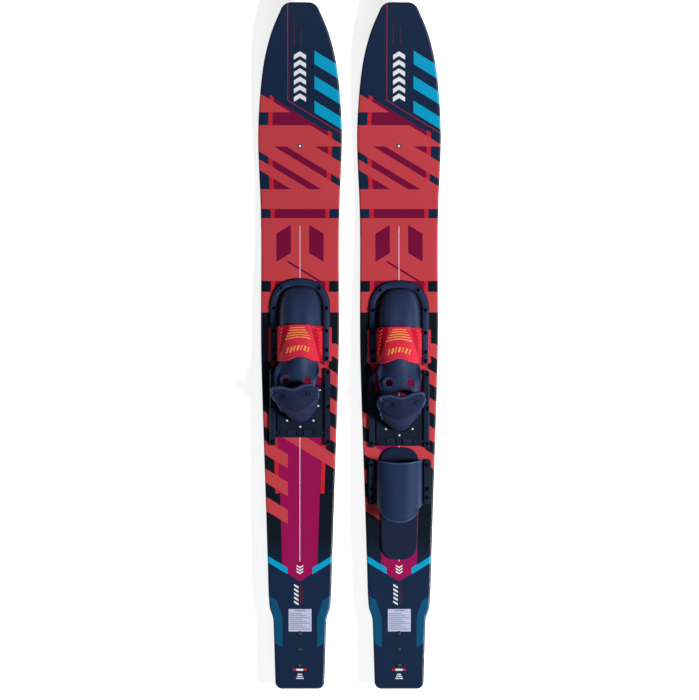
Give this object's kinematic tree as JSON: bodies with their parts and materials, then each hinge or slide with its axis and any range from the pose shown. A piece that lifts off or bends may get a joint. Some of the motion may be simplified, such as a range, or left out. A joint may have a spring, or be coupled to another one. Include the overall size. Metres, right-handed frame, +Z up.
{
  "type": "water ski pair",
  "caption": "Pair of combination water skis with raised tips, fins, rubber toe bindings, sliding heel bindings and a rear toe strap on one ski.",
  "frame": {"origin": "on the floor, under the middle of the pair's bounding box, with both skis lying deck up on their fins and forebodies", "axes": "+Z up, +Y towards the ski tips, +X towards the ski with the rear toe piece"},
  "size_m": [0.4418, 1.6535, 0.1317],
  "materials": {
    "board": "satin",
    "fin": "satin",
    "brass": "satin",
    "steel": "satin",
    "washer": "satin",
    "eyelet": "satin",
    "binding_plate": "satin",
    "black_screw": "satin",
    "rubber": "satin",
    "strap": "satin",
    "rivet": "polished",
    "catch": "satin",
    "spring": "polished",
    "foam": "matte"
  },
  "bodies": {
    "left_ski": {"left_board": "board", "left_fin": "fin", "left_fin_inserts": "brass", "left_fin_screws": "steel", "left_fin_washers": "washer", "left_tip_eyelet": "eyelet", "left_binding_inserts": "brass", "left_toe_frame": "binding_plate", "left_toe_screws": "black_screw", "left_toe_rubber": "rubber", "left_instep_strap": "strap", "left_tongue": "rubber", "left_outer_rail": "binding_plate", "left_inner_rail": "binding_plate", "left_rail_screws": "black_screw"},
    "left_heel": {"left_heel_base_plate": "binding_plate", "left_heel_top_plate": "binding_plate", "left_heel_rubber": "rubber", "left_heel_rivets": "rivet", "left_catch_spring": "spring"},
    "left_outer_catch": {"left_outer_catch": "catch"},
    "left_inner_catch": {"left_inner_catch": "catch"},
    "right_ski": {"right_board": "board", "right_fin": "fin", "right_fin_inserts": "brass", "right_fin_screws": "steel", "right_fin_washers": "washer", "right_tip_eyelet": "eyelet", "right_binding_inserts": "brass", "right_toe_frame": "binding_plate", "right_toe_screws": "black_screw", "right_toe_rubber": "rubber", "right_instep_strap": "strap", "right_tongue": "rubber", "right_outer_rail": "binding_plate", "right_inner_rail": "binding_plate", "right_rail_screws": "black_screw", "right_rear_pad": "foam", "right_rear_strap": "rubber", "right_rear_bars": "binding_plate", "right_rear_screws": "black_screw"},
    "right_heel": {"right_heel_base_plate": "binding_plate", "right_heel_top_plate": "binding_plate", "right_heel_rubber": "rubber", "right_heel_rivets": "rivet", "right_catch_spring": "spring"},
    "right_outer_catch": {"right_outer_catch": "catch"},
    "right_inner_catch": {"right_inner_catch": "catch"}
  },
  "joints": [
    {"name": "ski_spacing", "type": "slide", "parent": "left_ski", "child": "right_ski", "axis": [1, 0, 0], "range_m": [-0.03, 0.3]},
    {"name": "left_heel_slide", "type": "slide", "parent": "left_ski", "child": "left_heel", "axis": [0, 0.9991, -0.043], "range_m": [-0.018, 0.03]},
    {"name": "left_outer_catch_squeeze", "type": "slide", "parent": "left_heel", "child": "left_outer_catch", "axis": [1, 0, 0], "range_m": [0, 0.0035], "stiffness_N_per_m": 800, "deforming": ["left_catch_spring"]},
    {"name": "left_inner_catch_squeeze", "type": "slide", "parent": "left_heel", "child": "left_inner_catch", "axis": [-1, 0, 0], "range_m": [0, 0.0035], "stiffness_N_per_m": 800},
    {"name": "right_heel_slide", "type": "slide", "parent": "right_ski", "child": "right_heel", "axis": [0, 0.9991, -0.043], "range_m": [-0.001, 0.045]},
    {"name": "right_outer_catch_squeeze", "type": "slide", "parent": "right_heel", "child": "right_outer_catch", "axis": [-1, 0, 0], "range_m": [0, 0.0035], "stiffness_N_per_m": 800, "deforming": ["right_catch_spring"]},
    {"name": "right_inner_catch_squeeze", "type": "slide", "parent": "right_heel", "child": "right_inner_catch", "axis": [1, 0, 0], "range_m": [0, 0.0035], "stiffness_N_per_m": 800}
  ],
  "couplings": [
    {"joint": "left_inner_catch_squeeze", "follows": "left_outer_catch_squeeze", "ratio": 1},
    {"joint": "right_inner_catch_squeeze", "follows": "right_outer_catch_squeeze", "ratio": 1}
  ]
}
